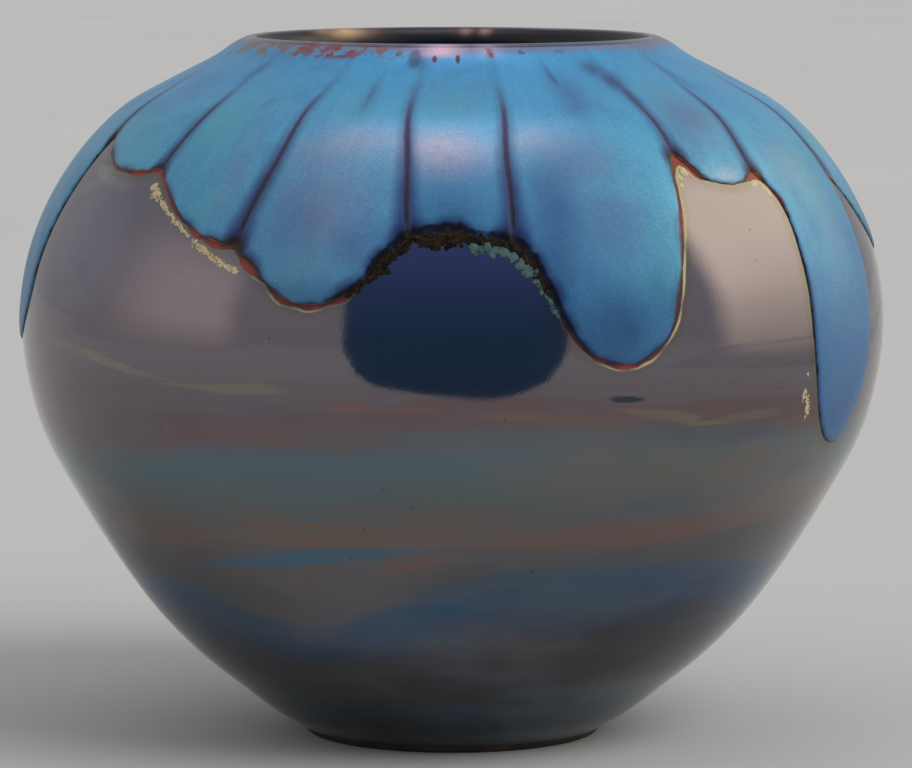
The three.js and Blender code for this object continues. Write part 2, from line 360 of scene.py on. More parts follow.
def piece(name, points, faces, material, nodes, values=None, normals=None):
    """A piece of the vase: points in millimetres, with values to store at each of them."""
    mesh = bpy.data.meshes.new(name)
    mesh.from_pydata((np.asarray(points) * MM).tolist(), [], outward(points, faces))
    mesh.validate()
    mesh.shade_smooth()
    mesh.set_sharp_from_angle(angle=math.radians(SHARP_ANGLE))
    for key, numbers in (values or {}).items():
        layer = mesh.attributes.new(key, "FLOAT", "POINT")
        layer.data.foreach_set("value", np.asarray(numbers, np.float32))
    if normals is not None:
        mesh.normals_split_custom_set_from_vertices(normals.tolist())
    mesh.materials.append(material)
    made = new_object(name, mesh)
    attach(made, "root")
    if nodes:
        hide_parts(*nodes)
    return made


# -------------------- the materials


def srgb(red, green, blue):
    """A linear colour from display values of 0 to 255."""
    def linear(v):
        v /= 255
        return v / 12.92 if v <= 0.04045 else ((v + 0.055) / 1.055) ** 2.4

    return (linear(red), linear(green), linear(blue), 1)


class Graph:
    """The nodes of one material, built call by call."""

    def __init__(self, name):
        self.material = bpy.data.materials.new(name)
        self.material.use_nodes = True
        self.tree = self.material.node_tree
        self.tree.nodes.clear()
        self.spot = self.node("ShaderNodeTexCoord").outputs["Object"]

    def node(self, kind, inputs=None, **settings):
        made = self.tree.nodes.new(kind)
        for key, value in settings.items():
            setattr(made, key, value)
        for key, value in (inputs or {}).items():
            if isinstance(value, bpy.types.NodeSocket):
                self.tree.links.new(value, made.inputs[key])
            else:
                made.inputs[key].default_value = value
        return made

    def value(self, name):
        return self.node("ShaderNodeAttribute", attribute_name=name).outputs["Fac"]

    def math(self, operation, a, b=0.0):
        return self.node("ShaderNodeMath", {0: a, 1: b}, operation=operation).outputs[0]

    def add(self, a, b):
        return self.math("ADD", a, b)

    def times(self, a, b):
        return self.math("MULTIPLY", a, b)

    def span(self, value, low, high, to_low=0.0, to_high=1.0, kind="SMOOTHSTEP"):
        inputs = {"Value": value, "From Min": low, "From Max": high, "To Min": to_low, "To Max": to_high}
        return self.node("ShaderNodeMapRange", inputs, interpolation_type=kind).outputs["Result"]

    def line(self, *limits):
        return self.span(*limits, kind="LINEAR")

    def sway(self, noise, reach):
        """Noise as a move either way, of up to a reach."""
        return self.line(noise, 0.3, 0.7, -reach, reach)

    def noise(self, scale, detail=3.0, roughness=0.5, stretch=(1, 1, 1), at=(0, 0, 0), distortion=0.0):
        """Smooth noise from 0 to 1, with scale in features per metre along each axis once stretched."""
        spot = self.node("ShaderNodeMapping", {"Vector": self.spot, "Scale": stretch, "Location": at})
        inputs = {"Vector": spot.outputs["Vector"], "Scale": scale, "Detail": detail,
                  "Roughness": roughness, "Distortion": distortion}
        return self.node("ShaderNodeTexNoise", inputs).outputs["Fac"]

    def turn(self):
        """The angle round the axis, in degrees from the front."""
        place = self.node("ShaderNodeSeparateXYZ", {"Vector": self.spot}).outputs
        return self.times(self.math("ARCTAN2", place["X"], self.times(place["Y"], -1.0)), 180 / math.pi)

    def streak(self, turn, depth, middle, half, tilt):
        """A long oval patch: its middle as angle and depth, half its length and height, and its fall."""
        angle, level = middle
        along, high = half
        x = self.times(self.add(turn, -angle), math.radians(float(outer.radius(level))) / along)
        y = self.times(self.add(self.add(depth, -level), self.times(x, -tilt * along)), 1 / high)
        return self.span(self.add(self.times(y, y), self.times(x, x)), 1.0, 0.2)

    def specks(self, scale, size):
        """Small scattered specks: 1 in a speck, 0 elsewhere."""
        cells = self.node("ShaderNodeTexVoronoi", {"Vector": self.spot, "Scale": scale})
        return self.span(cells.outputs["Distance"], size, size * 0.5)

    def ramp(self, value, stops):
        made = self.node("ShaderNodeValToRGB", {"Fac": value})
        made.color_ramp.interpolation = "EASE"
        elements = made.color_ramp.elements
        while len(elements) < len(stops):
            elements.new(0.5)
        for element, (at, colour) in zip(elements, stops):
            element.position, element.color = at, colour
        return made.outputs["Color"]

    def mix(self, share, a, b):
        return self.node("ShaderNodeMix", {0: share, 6: a, 7: b}, data_type="RGBA").outputs[2]

    def bump(self, height, distance, strength=1.0, normal=None):
        inputs = {"Height": height, "Distance": distance, "Strength": strength}
        if normal is not None:
            inputs["Normal"] = normal
        return self.node("ShaderNodeBump", inputs).outputs["Normal"]

    def finish(self, **inputs):
        shader = self.node("ShaderNodeBsdfPrincipled", {k.replace("_", " "): v for k, v in inputs.items()})
        output = self.node("ShaderNodeOutputMaterial")
        self.tree.links.new(shader.outputs["BSDF"], output.inputs["Surface"])
        return self.material


RUST = srgb(138, 53, 33)
MAROON = srgb(98, 30, 32)
CHARRED = srgb(34, 20, 22)
NAVY = srgb(16, 24, 52)
CREAM = srgb(186, 174, 134)
DRY_CREAM = srgb(208, 190, 146)
OLIVE = srgb(112, 108, 84)
PIT = srgb(40, 30, 34)

# The lustre's bands down the wall: place among the bands, and colour of the reflecting film. Below the
# belly the colours grow darker towards the foot, which is painted shade: the shadowed floor under the belly
# that the lower wall mirrors.
LUSTRE_TOP, LUSTRE_FOOT = 30.0, 214.0
LUSTRE_BANDS_AND_SHADE = [
    (30, (0.228, 0.210, 0.262)), (70, (0.216, 0.198, 0.242)), (92, (0.210, 0.186, 0.212)),
    (98.5, (0.190, 0.162, 0.182)), (100.5, (0.185, 0.135, 0.145)), (104.5, (0.190, 0.140, 0.145)),
    (108, (0.155, 0.170, 0.190)), (112, (0.130, 0.195, 0.225)), (120, (0.145, 0.185, 0.200)),
    (126, (0.165, 0.172, 0.172)), (131, (0.195, 0.160, 0.150)), (135, (0.215, 0.160, 0.140)),
    (137.5, (0.170, 0.147, 0.147)), (149, (0.140, 0.137, 0.150)), (151.5, (0.105, 0.140, 0.180)),
    (156, (0.074, 0.128, 0.205)), (164, (0.072, 0.110, 0.175)), (168.5, (0.080, 0.092, 0.125)),
    (172, (0.088, 0.080, 0.088)), (184, (0.068, 0.066, 0.070)), (188, (0.042, 0.062, 0.080)),
    (192, (0.032, 0.066, 0.098)), (196.5, (0.036, 0.048, 0.060)), (201, (0.026, 0.029, 0.031)),
    (212, (0.022, 0.022, 0.022)),
]
# Where those places fall: an angle, then the depth of each of the places
BAND_PLACES = (60, 95, 106, 134, 152, 168, 190, 214)
BAND_DEPTHS = [
    (-180, (60, 95, 107, 135, 150, 166, 190, 214)), (-130, (60, 95, 103, 131, 147, 170, 191, 214)),
    (-75, (60, 95, 116, 138, 150, 166, 191, 214)), (-50, (60, 95, 115, 137, 151, 167, 190, 214)),
    (-30, (60, 95, 110, 135.5, 158, 171, 189, 214)), (-15, (60, 95, 107.5, 135, 154.5, 169, 189, 214)),
    (0, (60, 95, 105.5, 134, 146, 165, 190, 214)), (10, (60, 95, 106, 134.5, 142.5, 160, 191, 214)),
    (25, (60, 95, 106, 134, 141.5, 156, 191, 214)), (45, (60, 95, 107, 133, 143, 155, 190, 214)),
    (75, (60, 95, 110, 132, 148, 160, 190, 214)), (130, (60, 95, 104, 136, 154, 169, 189, 214)),
    (180, (60, 95, 107, 135, 150, 166, 190, 214)),
]
SKY, ORANGE, SALMON = (0.095, 0.180, 0.265), (0.270, 0.165, 0.115), (0.245, 0.150, 0.140)
OLIVE_CREAM, DARK_LENS_REFLECTION, GREY_OLIVE = (0.285, 0.285, 0.200), (0.040, 0.055, 0.085), (0.205, 0.188, 0.175)
SMOKE, SLATE, MAUVE = (0.135, 0.145, 0.200), (0.065, 0.135, 0.240), (0.170, 0.160, 0.180)
WARM_GREY, PALE_GREY, LILAC_GREY = (0.255, 0.218, 0.208), (0.280, 0.280, 0.290), (0.285, 0.270, 0.335)
PALE_TEAL = (0.330, 0.370, 0.350)
# Single streaks in the lustre: angle, depth, half length and half height, fall along the length, colour
# and strength
LUSTRE_STREAKS = [
    (-58, 67, 18, 20, 0, LILAC_GREY, 0.6), (-60, 51.6, 13, 2.6, 0.13, PALE_TEAL, 0.6),
    (-63.5, 53.5, 7, 3.5, -0.5, PALE_TEAL, 0.35), (-55, 107, 34, 7.5, 0.05, MAUVE, 0.75),
    (50, 121, 30, 15, 0, WARM_GREY, 0.65), (-62, 133, 14, 14, 0, PALE_GREY, 0.45),
    (26, 116.5, 44, 9, 0, GREY_OLIVE, 0.75), (24, 134, 34, 4.6, -0.02, SALMON, 0.55),
    (-9, 158, 20, 7, -0.28, SLATE, 0.6), (-57, 155, 22, 6, 0.05, SLATE, 0.5),
    (-24, 140.3, 35, 2.5, -0.118, SKY, 0.9), (-18, 134.6, 30, 0.55, -0.07, ORANGE, 0.75),
    (-6.5, 141.2, 11, 1.7, -0.32, SALMON, 0.6), (-19.5, 127.8, 5, 0.7, 0.05, SKY, 0.8),
    (-47, 94.4, 20, 1.1, 0.15, OLIVE_CREAM, 0.5), (-31, 97.9, 20, 1.3, -0.02, OLIVE_CREAM, 0.45),
    (-60, 91.5, 16, 1.6, 0.12, OLIVE_CREAM, 0.3), (-12, 96, 14, 0.9, -0.08, GREY_OLIVE, 0.4),
    (-24, 95.3, 9, 0.7, -0.06, GREY_OLIVE, 0.6), (29.5, 104.3, 18, 1.2, 0.17, OLIVE_CREAM, 0.42),
    (40, 105.5, 16, 1.5, -0.05, OLIVE_CREAM, 0.25), (12, 103.2, 23, 1.1, 0.06, SALMON, 0.85),
    (-10, 100.6, 18, 0.9, 0.03, SALMON, 0.7), (30, 107.6, 6, 1.6, 0.1, SMOKE, 0.7),
    # The small dark lens at 22.3 degrees and depth 98.9 is a painted reflection of something dark in front
    # of the vase
    (44, 109, 10, 1.5, 0, SMOKE, 0.6), (22.3, 98.9, 5.4, 1.15, 0, DARK_LENS_REFLECTION, 0.9),
    (110, 139, 30, 2.4, 0.1, SKY, 0.8), (190, 98, 20, 1.0, 0.1, OLIVE_CREAM, 0.6),
    (-120, 141, 26, 2.2, -0.1, SKY, 0.8), (160, 103, 24, 1.1, 0.05, SALMON, 0.8),
    (-150, 136, 26, 0.7, 0.08, ORANGE, 0.7),
]


def band_places(spots):
    """The place of each spot among the lustre's bands."""
    angles = np.array([row[0] for row in BAND_DEPTHS])
    rows = np.array([row[1] for row in BAND_DEPTHS], float)
    column = np.clip(np.searchsorted(angles, spots[:, 0], "right") - 1, 0, len(angles) - 2)
    share = smoothstep(angles[column], angles[column + 1], spots[:, 0])[:, None]
    depths = rows[column] * (1 - share) + rows[column + 1] * share
    return np.array([np.interp(depth, row, BAND_PLACES) for depth, row in zip(spots[:, 1], depths)])


def lustre_colour(g):
    """The lustre's colour before the stains round the runs: marbled bands, darkening towards the foot as
    painted shade, and single streaks, one of them a painted reflection.
    """
    turn, depth = g.turn(), g.value("depth")
    slow = g.noise(9, 2, 0.5, (1, 1, 4.0), (0, 5, 2), 0.3)
    fine = g.noise(26, 4, 0.55, (1, 1, 9.0), (2, 0, 7))
    wander = g.add(g.sway(slow, 2.2), g.sway(fine, 1.5))
    along = g.line(g.add(g.value("band"), wander), LUSTRE_TOP, LUSTRE_FOOT)
    length = LUSTRE_FOOT - LUSTRE_TOP
    # the bands darken towards the foot: painted shade, the shadowed floor that the lower wall mirrors
    colour = g.ramp(along, [((d - LUSTRE_TOP) / length, (*c, 1)) for d, c in LUSTRE_BANDS_AND_SHADE])
    low_down = g.span(depth, 88, 112)
    cloud = g.noise(22, 4, 0.6, (1, 1, 2.2), (7, 3, 1))
    colour = g.mix(g.times(g.span(cloud, 0.45, 0.72, 0, 0.4), low_down), colour, (0.16, 0.20, 0.24, 1))
    warm = g.noise(18, 4, 0.6, (1, 1, 2.6), (1, 9, 4))
    colour = g.mix(g.times(g.span(warm, 0.5, 0.72, 0, 0.4), low_down), colour, (0.23, 0.18, 0.165, 1))
    marble = g.noise(15, 4, 0.6, (1, 1, 14), (5, 5, 5), 0.6)
    colour = g.mix(g.times(g.span(marble, 0.5, 0.7, 0, 0.3), low_down), colour, (0.12, 0.16, 0.20, 1))
    shaken = g.add(depth, g.sway(fine, 1.1))
    worn = g.span(g.noise(60, 3, 0.6, (1, 1, 2), (3, 2, 1)), 0.35, 0.55, 0.55, 1.0)
    for angle, level, *half, tilt, tint, strength in LUSTRE_STREAKS:
        share = g.times(g.streak(turn, shaken, (angle, level), half, tilt), worn)
        colour = g.mix(g.times(share, strength), colour, (*tint, 1))
    return colour


def rust_colour(g, red):
    """What the edge of a run has burnt to: red-brown where it is strong, near black elsewhere."""
    patchy = g.add(red, g.sway(g.noise(130, 3, 0.6), 0.3))
    burnt = g.mix(g.span(patchy, 0.6, 1.0), MAROON, RUST)
    return g.mix(g.span(patchy, 0.15, 0.65), CHARRED, burnt)


def lustre_material():
    """A mirror-like film over the ground glaze, stained round the runs by what has bled out of them."""
    g = Graph("lustre")
    colour = lustre_colour(g)
    edge, red = g.value("edge"), g.value("red")
    cream, crust = g.value("cream"), g.value("crust")
    place = g.add(edge, g.sway(g.noise(260, 3, 0.6), 0.12))
    colour = g.mix(g.times(g.span(place, 3.4, 1.0), 0.42), colour, OLIVE)
    width = g.add(g.line(red, 0, 1, 0.05, 1.15), g.span(g.value("dark"), 0.55, 0.95, 0, 0.75))
    beyond = g.math("SUBTRACT", place, width)
    broken = g.math("MAXIMUM", g.span(g.noise(600, 3, 0.6), 0.42, 0.56), g.span(cream, 0.25, 0.45))
    thin = g.math("DIVIDE", beyond, g.add(0.2, g.times(cream, 0.8)))
    line = g.times(g.span(beyond, 0.02, 0.2), g.span(thin, 1.0, 0.55))
    line = g.times(line, g.times(g.span(cream, 0.1, 1.0), broken))
    lumpy = g.add(crust, g.sway(g.noise(620, 3, 0.7), 0.5))
    crusted = g.times(g.span(lumpy, 0.5, 0.75), g.span(beyond, 0.05, 0.35))
    colour = g.mix(line, colour, CREAM)
    colour = g.mix(crusted, colour, DRY_CREAM)
    line = g.math("MAXIMUM", line, crusted)
    rust = g.span(g.times(beyond, -1.0), -0.12, 0.22)
    colour = g.mix(rust, colour, rust_colour(g, red))
    pits = g.specks(170, 0.05)
    colour = g.mix(g.times(pits, 0.7), colour, PIT)
    covered = g.math("MAXIMUM", line, rust)
    metal = g.line(covered, 0, 1, 1.0, 0.0)
    smear = g.noise(40, 4, 0.6, (1, 1, 4))
    roughness = g.add(g.span(smear, 0.3, 0.75, 0.055, 0.11), g.times(covered, 0.3))
    ripple = g.noise(26, 2, 0.5, (1, 1, 2.5))
    grain = g.noise(1500, 2, 0.5)
    normal = g.bump(ripple, 0.0004, 0.35)
    normal = g.bump(grain, 0.00002, 0.35, normal)
    return g.finish(Base_Color=colour, Metallic=metal, Roughness=roughness, Normal=normal)


BLUE_TOP = srgb(68, 172, 226)
BLUE_BODY = srgb(92, 184, 220)
BLUE_DEEP = srgb(60, 116, 164)
BLUE_CLEAR = srgb(78, 150, 214)
BLUE_WISP = srgb(58, 116, 184)
BLUE_STRING = srgb(58, 104, 168)
GRAIN_DARK = srgb(44, 84, 140)
GRAIN_PALE = srgb(200, 215, 235)
DUSK = srgb(40, 56, 116)
SEAM_GLOW = srgb(34, 43, 106)
SEAM_HIGH = srgb(52, 44, 92)
SEAM_LOW = srgb(22, 14, 34)
BORDER = srgb(26, 38, 92)
BLACK = srgb(10, 9, 16)
LIP_VEIL = srgb(128, 128, 164)
LIP_HIGHLIGHT_PINK = srgb(236, 204, 226)
THREAD_RED = srgb(136, 46, 44)
THREAD_TAN = srgb(142, 112, 74)
# Marks in the blue under the lip, as the lustre's streaks
BLUE_STREAKS = [
    (-9.2, 7, 1.7, 4.5, 0, (0.02, 0.03, 0.09), 0.6), (-4.3, 7, 0.7, 1.7, 0, (0.09, 0.012, 0.02), 0.95),
    (1.3, 7, 0.65, 2.0, 0, (0.05, 0.012, 0.03), 0.95), (9.6, 5.6, 0.7, 1.3, 0, (0.16, 0.02, 0.025), 0.8),
    (-13.5, 5.4, 0.9, 1.0, 0, (0.02, 0.025, 0.08), 0.6),
    (17.5, 4.8, 1.2, 0.9, 0, (0.08, 0.015, 0.03), 0.6), (28, 4.6, 1.6, 0.8, 0, (0.06, 0.015, 0.05), 0.4),
    (160, 6, 1.0, 2.4, 0, (0.09, 0.012, 0.02), 0.7),
]


def blue_material():
    """The thick overglaze: satin blue with clouds in it, dark seams and a rusty free edge."""
    g = Graph("blue_glaze")
    edge, seam, depth, turn = g.value("edge"), g.value("seam"), g.value("depth"), g.turn()
    tone, red, dark = g.value("tone"), g.value("red"), g.value("dark")
    jitter = g.sway(g.noise(380, 3, 0.6), 0.2)
    down = g.line(depth, 8, 100)
    cloud = g.noise(30, 4, 0.6, (1, 1, 0.8))
    wisps = g.noise(90, 4, 0.65, (1, 1, 0.8), (3, 3, 3), 0.4)
    place = {"X": g.value("across"), "Y": g.times(depth, 0.09)}
    flow = g.node("ShaderNodeCombineXYZ", place).outputs["Vector"]
    strings = g.node("ShaderNodeTexNoise", {"Vector": flow, "Scale": 0.55, "Detail": 4}).outputs["Fac"]
    colour = g.mix(g.span(down, 0.05, 0.45), BLUE_TOP, BLUE_BODY)
    colour = g.mix(g.span(g.add(down, g.times(cloud, 0.7)), 0.65, 1.3), colour, BLUE_DEEP)
    colour = g.mix(g.times(tone, 0.25), colour, BLUE_CLEAR)
    colour = g.mix(g.span(wisps, 0.42, 0.7, 0, 0.32), colour, BLUE_WISP)
    colour = g.mix(g.span(strings, 0.45, 0.75, 0, 0.14), colour, BLUE_STRING)
    # the clouds, and the pale painted highlight under the light from above
    for name, tint in CLOUDS_AND_HIGHLIGHT.items():
        loose = g.times(g.value(name), g.span(wisps, 0.3, 0.6, 1.1, 0.75))
        colour = g.mix(g.math("MINIMUM", loose, 1.0), colour, tint)
    grain = g.noise(2200, 2, 0.7)
    colour = g.mix(g.span(grain, 0.35, 0.6, 0.22, 0), colour, GRAIN_DARK)
    colour = g.mix(g.span(grain, 0.6, 0.8, 0, 0.22), colour, GRAIN_PALE)
    colour = g.mix(g.value("dusk"), colour, DUSK)
    # the seams darken from the shoulder down
    wide = g.times(g.line(depth, 14, 62, 0.6, 1.4), g.add(1.0, g.times(dark, 0.7)))
    near = g.math("DIVIDE", g.add(seam, g.times(jitter, 0.6)), wide)
    soft = g.times(g.span(near, 3.0, 0.3), g.line(depth, 14, 52, 0.12, 0.85))
    colour = g.mix(soft, colour, SEAM_GLOW)
    centre = g.span(g.add(seam, g.times(jitter, 0.6)), 0.95, 0.25)
    core = g.times(centre, g.span(depth, 15, 34, 0.03, 0.96))
    colour = g.mix(core, colour, g.mix(g.span(depth, 34, 62), SEAM_HIGH, SEAM_LOW))
    # its border is dark where it is thickest, and pools beside the notches
    rim = g.math("DIVIDE", g.add(edge, jitter), g.add(0.35, g.times(dark, 1.5)))
    dusky = g.times(g.span(rim, 3.4, 0.7), g.line(dark, 0, 0.8, 0, 0.8))
    colour = g.mix(dusky, colour, BORDER)
    black = g.mix(g.span(dark, 0.5, 0.95), NAVY, BLACK)
    burnt = g.times(g.span(rim, 1.25, 0.5), g.line(dark, 0, 0.5, 0.15, 1))
    colour = g.mix(burnt, colour, black)
    reach = g.line(red, 0, 1, 0.0, 0.5)
    inner_rust = g.span(g.math("SUBTRACT", reach, g.add(edge, jitter)), -0.1, 0.15)
    colour = g.mix(inner_rust, colour, rust_colour(g, red))
    # the thin start of the runs, over the lip glaze
    ragged = g.add(depth, g.sway(g.noise(220, 4, 0.7, (1, 1, 0.5)), 1.5))
    colour = g.mix(g.span(ragged, 6.2, 3.5, 0, 0.8), colour, LIP_VEIL)
    # a painted highlight: the pale pink of the lip's glossy crest, carried into the thin start of the runs
    colour = g.mix(g.times(g.value("pale"), g.span(depth, 7.5, 4.5)), colour, LIP_HIGHLIGHT_PINK)
    for angle, level, *half, tilt, tint, strength in BLUE_STREAKS:
        share = g.streak(turn, g.add(depth, jitter), (angle, level), half, tilt)
        colour = g.mix(g.times(share, strength), colour, (*tint, 1))
    threads = g.span(g.noise(330, 4, 0.7, (1, 1, 0.6), (4, 4, 4)), 0.475, 0.54)
    flecks = g.times(g.times(threads, g.value("fleck")), g.span(depth, 8.2, 6.4))
    colour = g.mix(flecks, colour, g.mix(g.span(cloud, 0.4, 0.6), THREAD_RED, THREAD_TAN))
    smear = g.noise(90, 4, 0.6)
    roughness = g.add(g.line(smear, 0.3, 0.7, 0.36, 0.46), g.times(core, 0.25))
    normal = g.bump(g.noise(700, 3, 0.6), 0.00005, 0.5)
    normal = g.bump(g.noise(60, 3, 0.5), 0.0004, 0.3, normal)
    metal = g.line(core, 0, 0.6, 0.35, 0)
    return g.finish(Base_Color=colour, Metallic=metal, Roughness=roughness, Normal=normal, Coat_Weight=0.12,
                    Coat_Roughness=0.2)


def lip_material():
    """The pale lilac glaze over the lip, with rust drawn into short threads."""
    g = Graph("lip_glaze")
    cloud = g.noise(60, 4, 0.6)
    colour = g.ramp(cloud, [(0.3, srgb(62, 78, 112)), (0.5, srgb(88, 92, 124)), (0.7, srgb(124, 112, 138))])
    threads = g.noise(330, 5, 0.7, (1, 1, 0.5), (1, 2, 3), 0.8)
    rust = g.times(g.span(threads, 0.50, 0.56), g.value("fleck"))
    colour = g.mix(rust, colour, srgb(118, 36, 40))
    # a painted highlight: a pale pink patch on the crest at the front
    colour = g.mix(g.times(g.value("pale"), 0.8), colour, srgb(226, 200, 224))
    # it thins into the dark glaze of the throat
    throat = g.span(g.value("inside"), 0.5, 1.6)
    colour = g.mix(throat, colour, srgb(10, 13, 24))
    patchy = g.times(g.value("peach"), g.span(g.noise(120, 3, 0.6), 0.35, 0.6, 0.6, 1))
    colour = g.mix(patchy, colour, srgb(240, 190, 150))
    metal = g.span(throat, 0, 1, 0.3, 0.05)
    roughness = g.add(g.span(cloud, 0.3, 0.7, 0.14, 0.26), g.times(throat, 0.2))
    normal = g.bump(g.noise(240, 3, 0.6), 0.0002, 0.4)
    return g.finish(Base_Color=colour, Metallic=metal, Roughness=roughness, Normal=normal)


def liner_material():
    """The dark inside glaze, with a peach bloom under the lip."""
    g = Graph("liner_glaze")
    cloud = g.noise(36, 4, 0.6, (1, 1, 1), (2, 2, 6))
    colour = g.ramp(cloud, [(0.3, srgb(9, 11, 24)), (0.55, srgb(18, 20, 36)), (0.75, srgb(40, 34, 46))])
    patchy = g.times(g.value("peach"), g.span(g.noise(90, 3, 0.6), 0.35, 0.6, 0.5, 1))
    colour = g.mix(patchy, colour, srgb(232, 180, 140))
    normal = g.bump(g.noise(90, 3, 0.5), 0.0003, 0.4)
    roughness = g.span(cloud, 0.3, 0.7, 0.26, 0.4)
    return g.finish(Base_Color=colour, Metallic=0.2, Roughness=roughness, Normal=normal)


def clay_material():
    """Bare stoneware at the foot: dark brown, gritty, with iron specks and turning marks."""
    g = Graph("bare_clay")
    body = g.noise(160, 5, 0.65)
    colour = g.ramp(body, [(0.3, srgb(36, 27, 23)), (0.5, srgb(54, 41, 34)), (0.72, srgb(82, 65, 52))])
    colour = g.mix(g.specks(900, 0.22), colour, srgb(26, 18, 16))
    rings = g.noise(2600, 3, 0.6, (0.08, 0.08, 1))
    normal = g.bump(g.noise(1400, 4, 0.7), 0.0002, 0.6)
    normal = g.bump(rings, 0.0002, 0.4, normal)
    roughness = g.line(body, 0.3, 0.7, 0.74, 0.9)
    return g.finish(Base_Color=colour, Roughness=roughness, Normal=normal)


def crust_material(name, pale, dark, speck):
    """Dry crumbs of glaze thrown up along the edge of a run."""
    g = Graph(name)
    cloud = g.noise(520, 3, 0.6)
    colour = g.ramp(cloud, [(0.35, dark), (0.6, pale)])
    colour = g.mix(g.span(g.noise(1500, 2, 0.6), 0.58, 0.66), colour, speck)
    normal = g.bump(g.noise(2500, 2, 0.6), 0.0001, 0.5)
    roughness = g.span(cloud, 0.3, 0.7, 0.4, 0.65)
    return g.finish(Base_Color=colour, Roughness=roughness, Specular_IOR_Level=0.15, Normal=normal)


# -------------------- the pieces

# Soft patches. Each has its angle, depth, reach in millimetres (one, or one across and one down) and
# strength. Where a line of cream has gathered along the edges:
CREAM_SPOTS = [
    (-26.5, 74.5, 3, 0.6), (-23, 78, 4, 0.6), (-18.5, 80, 5, 0.65), (-14, 79, 4, 0.4), (17, 91, 4, 0.35),
    (20, 93, 5, 0.65), (25, 92, 5, 0.9), (29, 84, 6, 0.9), (31, 73, 8, 1), (33, 60, 8, 1),
    (34.6, 50, 5, 1), (36, 46, 4, 1), (50, 52, 4, 0.9), (52.5, 57, 4, 0.5), (-62, 49.5, 7, 0.3),
    (-70, 52, 9, 0.35), (62, 115, 7, 0.3), (72, 70, 12, 0.45), (73.5, 58, 7, 0.7), (105, 98, 16, 0.7),
    (147, 98, 14, 0.8), (187, 91, 14, 0.8), (229, 111, 14, 0.9), (250, 72, 16, 0.6), (166, 69, 14, 0.6),
    (127, 69, 12, 0.5), (208, 63, 12, 0.6), (266, 60, 12, 0.6),
]
# Where the cream has dried to a crust on the lustre: paths of angles and depths, and their width
CRUST_PATHS = [
    ([(-47.2, 54.1), (-44.3, 57.6), (-41.6, 60.5), (-39.6, 62.7), (-37.8, 64.4)], 0.75),
    ([(-36.6, 65.9), (-33.3, 68.7), (-31.2, 70.6), (-29.0, 72.0)], 0.85),
    ([(-47.8, 53.3), (-46.0, 55.8)], 1.6), ([(35.7, 47.0), (36.4, 48.8)], 1.0),
    ([(35.1, 49), (34.8, 52)], 0.7), ([(49.6, 51.8), (50.8, 53.4), (51.4, 55.4)], 0.85),
    ([(48.4, 53.1), (49.6, 52.7)], 0.6), ([(52.0, 101), (53.0, 104), (54.2, 107)], 0.9),
    ([(51.6, 102), (52.4, 105.5)], 0.6), ([(52.3, 97), (52.5, 101)], 0.45), ([(186, 94), (192, 91)], 1.2),
    ([(146, 100), (150, 98)], 1.2), ([(224, 108), (229, 114)], 1.4),
]
CRUST_STEP = 0.9
# Where the edges have burnt red:
RED_SPOTS = [
    (-49, 51, 4, 0.9), (-33, 66, 5, 1), (-36.5, 64.5, 3, 1), (-27, 71, 5, 1), (-22, 78, 5, 0.85),
    (-18, 79.5, 5, 0.75), (-14, 78, 4, 0.65), (-42, 58, 6, 0.8), (-46, 53, 4, 0.8), (-53, 50.5, 5, 1),
    (16, 87, 4, 0.4), (18.5, 90.5, 3, 0.7), (22, 92, 5, 0.85), (26, 90, 5, 0.6), (30, 79, 9, 0.6),
    (32.5, 60, 12, 0.75), (36, 46, 5, 1), (38, 49, 3, 0.9), (49, 51.5, 3.5, 1), (52.5, 57, 5, 0.6),
    (53, 70, 10, 0.4), (54, 92, 12, 0.35), (63, 114, 9, 0.45), (-60, 49.6, 5, 0.7), (-66, 46, 6, 0.55),
    (-70, 43, 4, 0.5), (-88, 94, 12, 0.6), (73, 54, 4, 0.8), (71.6, 76, 14, 0.4), (88, 73, 12, 0.5),
    (107, 101, 14, 0.7), (127, 67, 10, 0.4), (147, 97, 12, 0.8), (168, 68, 10, 0.5), (187, 90, 12, 0.85),
    (208, 62, 10, 0.6), (229, 110, 12, 0.8), (250, 70, 12, 0.5),
]
# Where the dark border of the blue is strong and wide: beside the notches, and along the torn edges
DARK_SPOTS = [
    (-29.5, 65.5, 5, 1), (-27, 70, 4.5, 0.9), (-23, 77, 4, 0.45), (-18, 79, 4, 0.4), (-13.5, 76, 5, 0.9),
    (-9, 69, 5, 1), (-5.8, 63, 6, 1), (0, 62, 6, 1), (8, 64.3, 6, 1), (10.5, 70, 5, 1), (12.5, 76, 5, 1),
    (14, 83, 5, 0.85), (16, 88, 4, 0.6), (20, 92, 5, 0.45), (26, 90, 5, 0.45), (30, 78, 7, 0.45),
    (32, 64, 7, 0.35), (34.4, 50, 4, 0.5), (35.6, 44, 5, 1), (38, 48.5, 3, 0.6), (48.8, 51, 2.5, 0.6),
    (49.7, 49.8, 4, 0.9), (52.4, 58, 5, 0.35), (53.2, 80, 9, 0.3), (-64, 47, 5, 0.5), (-57, 50, 5, 0.35),
    (-48, 49, 4, 0.7), (-44, 55, 5, 0.35), (-38, 62.5, 4, 0.45), (-33, 66, 4, 0.6), (-69.4, 41, 4, 0.6),
    (107, 100, 10, 0.4), (147, 96, 10, 0.4), (187, 90, 10, 0.5), (229, 110, 10, 0.5),
]
# The notches of the guessed seams, at the back
DARK_SPOTS += [(notch, depth, 6, 0.8) for _, _, notch, depth in SEAMS[9:]]
